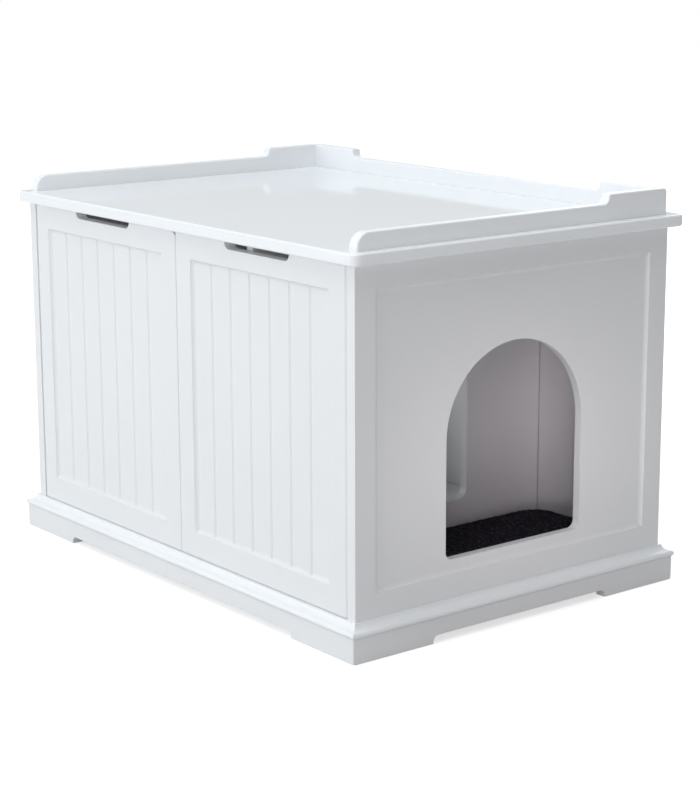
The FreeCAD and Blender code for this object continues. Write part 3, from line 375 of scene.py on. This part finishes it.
# The pile stands half up, more or less by fine curls and broader tufts, and all of the mat's height rises
# from the rim in a quarter round.
mat_low, mat_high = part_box("floor_mat")
mat_half = (mat_high - mat_low) / 2
mat_middle = (mat_high + mat_low) / 2
mat_columns = round(2 * mat_half.y / MAT_CELL)
mat_rows = round(2 * mat_half.x / MAT_CELL)
across, along = np.meshgrid(np.linspace(-1, 1, mat_rows), np.linspace(-1, 1, mat_columns), indexing="ij")
mat_x, mat_y = rounded_square(across, along, mat_half.x, mat_half.y, MAT_CORNER)
edge_way = np.minimum((1 - np.abs(across)) * mat_half.x, (1 - np.abs(along)) * mat_half.y)
rim_rise = np.sqrt(1 - np.clip(1 - edge_way / MAT_RIM, 0, 1) ** 2)
draws = np.random.default_rng(MAT_SEED)
curls = smoothed(draws.normal(size=across.shape), CURL_PASSES)
tufts = smoothed(draws.normal(size=across.shape), TUFT_PASSES)
pile = np.clip(0.5 + CURL_SHARE * curls + TUFT_SHARE * tufts, 0, 1)
mat_rise = (mat_high.z - mat_low.z - MAT_PILE + MAT_PILE * pile) * rim_rise
mat_top = np.stack([mat_middle.x + mat_x, mat_middle.y + mat_y, mat_low.z + mat_rise], axis=-1)
carpet = bpy.data.objects.new("carpet_mat", mat_mesh("carpet_mat", mat_top))
bpy.context.scene.collection.objects.link(carpet)

CARPET_DARK = (0.004, 0.004, 0.005)
CARPET_GREY = (0.041, 0.034, 0.050)
CARPET_FLECK = (0.115, 0.098, 0.135)
CARPET_ROUGHNESS = 0.95
CARPET_SPECULAR = 0.2
FIBRE_SIZE = 0.0016
FIBRE_DEPTH = 0.0012
CLUMP_SIZE = 0.006
FLECK_SIZE = 0.0048
FLECK_SHARE = 0.7


def carpet_felt():
    """Dark fibres of several greys, with pale flecks and a fuzzy, dull surface."""
    felt = Finish("carpet_felt")
    fibres = felt.noise(FIBRE_SIZE, detail=4.0)
    clumps = felt.noise(CLUMP_SIZE, detail=3.0)
    flecks = felt.spread(felt.noise(FLECK_SIZE), low=0.54, high=0.66)
    colour = felt.blend(felt.spread(fibres, low=0.35, high=0.65), CARPET_DARK, CARPET_GREY)
    colour = felt.blend(felt.spread(clumps, low=0.45, high=0.7, to_high=0.5), colour, CARPET_DARK)
    colour = felt.blend(felt.times(flecks, FLECK_SHARE), colour, CARPET_FLECK)
    normal = felt.bump(fibres, FIBRE_DEPTH, strength=0.9)
    return felt.done(Base_Color=colour, Roughness=CARPET_ROUGHNESS, Normal=normal,
                     Specular_IOR_Level=CARPET_SPECULAR)


carpet.data.materials.append(carpet_felt())
carpet.data.shade_smooth()
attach(carpet, "cabinet")
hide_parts("floor_mat")

# Studio
# A white floor that runs out to white, in soft light from all round. Broad lamps stand at the front left,
# overhead, beside the camera and behind, a narrower one grazes the entrance side, and two small ones open
# up the shade of the rooms inside. What shows in the gloss of the top falls off to grey overhead.

FLOOR_REACH = 9.0
FLOOR_WHITE = (0.65, 0.65, 0.65, 1.0)
FLOOR_GLOW = 0.62
FLOOR_NEAR = 0.55
FLOOR_FAR = 1.3
AMBIENT = 0.27
SKY_WHITE = (1.0, 1.0, 1.0, 1.0)
SKY_HIGH = 0.6
SKY_RISE = 0.07


def seen_directly(wiring):
    """1 for rays from the camera, from mirrors and through glass, and 0 for the light on the piece."""
    path = wiring.add("ShaderNodeLightPath").outputs
    seen = path["Is Camera Ray"]
    for word in ("Is Glossy Ray", "Is Transmission Ray"):
        seen = wiring.add("ShaderNodeMath", {0: seen, 1: path[word]}, operation="MAXIMUM").outputs["Value"]
    return seen


floor_corners = [(-FLOOR_REACH, -FLOOR_REACH, 0), (FLOOR_REACH, -FLOOR_REACH, 0),
                 (FLOOR_REACH, FLOOR_REACH, 0), (-FLOOR_REACH, FLOOR_REACH, 0)]
floor_mesh = bpy.data.meshes.new("studio_floor")
floor_mesh.from_pydata(floor_corners, [], [(0, 1, 2, 3)])
floor = bpy.data.objects.new("studio_floor", floor_mesh)
bpy.context.scene.collection.objects.link(floor)
floor_paint = bpy.data.materials.new("floor_white")
floor_paint.use_nodes = True
floor_paint.node_tree.nodes.clear()
ground = Wiring(floor_paint.node_tree)
matt = ground.add("ShaderNodeBsdfDiffuse", {"Color": FLOOR_WHITE}).outputs["BSDF"]
floor_place = ground.add("ShaderNodeTexCoord").outputs["Object"]
way_out = ground.add("ShaderNodeVectorMath", {0: floor_place}, operation="LENGTH").outputs["Value"]
brighter = ground.spread(way_out, FLOOR_NEAR, FLOOR_FAR, to_low=FLOOR_GLOW)
glow_strength = ground.times(seen_directly(ground), brighter)
glow = ground.add("ShaderNodeEmission", {"Strength": glow_strength}).outputs["Emission"]
both = ground.add("ShaderNodeAddShader", {0: matt, 1: glow}).outputs["Shader"]
ground.add("ShaderNodeOutputMaterial", {"Surface": both})
floor_mesh.materials.append(floor_paint)

world = bpy.data.worlds.new("studio_white")
bpy.context.scene.world = world
world.use_nodes = True
sky = Wiring(world.node_tree)
sky_way = sky.add("ShaderNodeTexCoord").outputs["Generated"]
sky_height = sky.add("ShaderNodeSeparateXYZ", {"Vector": sky_way}).outputs["Z"]
sky_seen = sky.spread(sky_height, low=0.0, high=SKY_RISE, to_low=1.0, to_high=SKY_HIGH)
sky_level = sky.spread(seen_directly(sky), low=0.0, high=1.0, to_low=AMBIENT, to_high=sky_seen)
backdrop = world.node_tree.nodes["Background"]
sky.feed(backdrop.inputs["Color"], SKY_WHITE)
sky.feed(backdrop.inputs["Strength"], sky_level)


def hang(lamp, place, target):
    """Puts a lamp in its place, turned to its target and hidden from the camera."""
    holder = bpy.data.objects.new(lamp.name, lamp)
    bpy.context.scene.collection.objects.link(holder)
    holder.location = place
    holder.visible_camera = False
    holder.rotation_euler = (Vector(target) - Vector(place)).to_track_quat("-Z", "Y").to_euler()


def soft_light(name, place, target, width, height, power, colour):
    """A broad panel that casts soft shade."""
    lamp = bpy.data.lights.new(name, "AREA")
    lamp.shape = "RECTANGLE"
    lamp.size = width
    lamp.size_y = height
    lamp.energy = power
    lamp.color = colour
    hang(lamp, place, target)


SNOOT_RADIUS = 0.12


def snooted_light(name, place, target, cone, power, colour):
    """A small lamp in a tube, which lights a round spot that fades to its rim."""
    lamp = bpy.data.lights.new(name, "SPOT")
    lamp.energy = power
    lamp.color = colour
    lamp.spot_size = math.radians(cone)
    lamp.spot_blend = 1.0
    lamp.shadow_soft_size = SNOOT_RADIUS
    hang(lamp, place, target)


DAYLIGHT = (0.95, 0.99, 1.0)
COOL = (0.91, 0.965, 1.0)
ROSE = (1.0, 0.885, 0.94)
SKY_BLUE = (0.85, 0.93, 1.0)
MIDDLE = (0.0, 0.0, 0.25)
ENTRY_ROOM = (0.25, 0.0, 0.25)
ARCH = (0.37, 0.0, 0.21)
TRAY_DOORWAY = (0.10, 0.21, 0.20)
soft_light("front_light", (-1.7, -2.9, 1.3), MIDDLE, width=2.0, height=1.8, power=36, colour=COOL)
soft_light("grazing_light", (0.85, -3.1, 0.7), MIDDLE, width=0.7, height=1.2, power=11, colour=COOL)
soft_light("camera_light", (2.4, -1.9, 0.55), ENTRY_ROOM, width=1.4, height=0.8, power=8, colour=ROSE)
soft_light("overhead_light", (0.7, -1.3, 3.1), MIDDLE, width=2.6, height=2.2, power=43, colour=DAYLIGHT)
soft_light("rear_overhead_light", (-0.3, 0.3, 3.4), MIDDLE, width=2.6, height=2.2, power=33,
           colour=SKY_BLUE)
soft_light("rear_light", (-1.6, 3.2, 2.0), MIDDLE, width=2.4, height=1.6, power=28, colour=COOL)
snooted_light("entrance_light", (1.53, -1.09, 0.36), ARCH, cone=10, power=38, colour=ROSE)
snooted_light("tray_room_light", (-0.26, -0.08, 0.25), TRAY_DOORWAY, cone=60, power=3.4, colour=DAYLIGHT)

# Camera
# Set from the lines of the cabinet in the photograph: its place, turn and focal length, and the pixel on
# the lens's axis, in a 700 x 800 frame.

IMAGE_WIDTH = 700
IMAGE_HEIGHT = 800
SENSOR = 36.0
FOCAL_PIXELS = 2069.66
CENTRE_PIXEL = (352.85, 404.91)
AZIMUTH = math.radians(51.774)
ELEVATION = math.radians(12.944)
ROLL = math.radians(-0.136)
CAMERA_PLACE = (2.140312, -1.655300, 0.825115)

right = Vector((math.cos(AZIMUTH), math.sin(AZIMUTH), 0))
back = Vector((math.sin(AZIMUTH) * math.cos(ELEVATION), -math.cos(AZIMUTH) * math.cos(ELEVATION),
               math.sin(ELEVATION)))
up = back.cross(right)
rolled_right = math.cos(ROLL) * right + math.sin(ROLL) * up
rolled_up = math.cos(ROLL) * up - math.sin(ROLL) * right
lens = bpy.data.cameras.new("camera")
lens.sensor_width = SENSOR
lens.lens = FOCAL_PIXELS / IMAGE_HEIGHT * SENSOR
lens.shift_x = (IMAGE_WIDTH / 2 - CENTRE_PIXEL[0]) / IMAGE_HEIGHT
lens.shift_y = (CENTRE_PIXEL[1] - IMAGE_HEIGHT / 2) / IMAGE_HEIGHT
camera = bpy.data.objects.new("camera", lens)
bpy.context.scene.collection.objects.link(camera)
camera.matrix_world = Matrix.Translation(CAMERA_PLACE) @ Matrix(
    (rolled_right, rolled_up, back)).transposed().to_4x4()
bpy.context.scene.camera = camera
bpy.context.scene.view_settings.view_transform = "Standard"
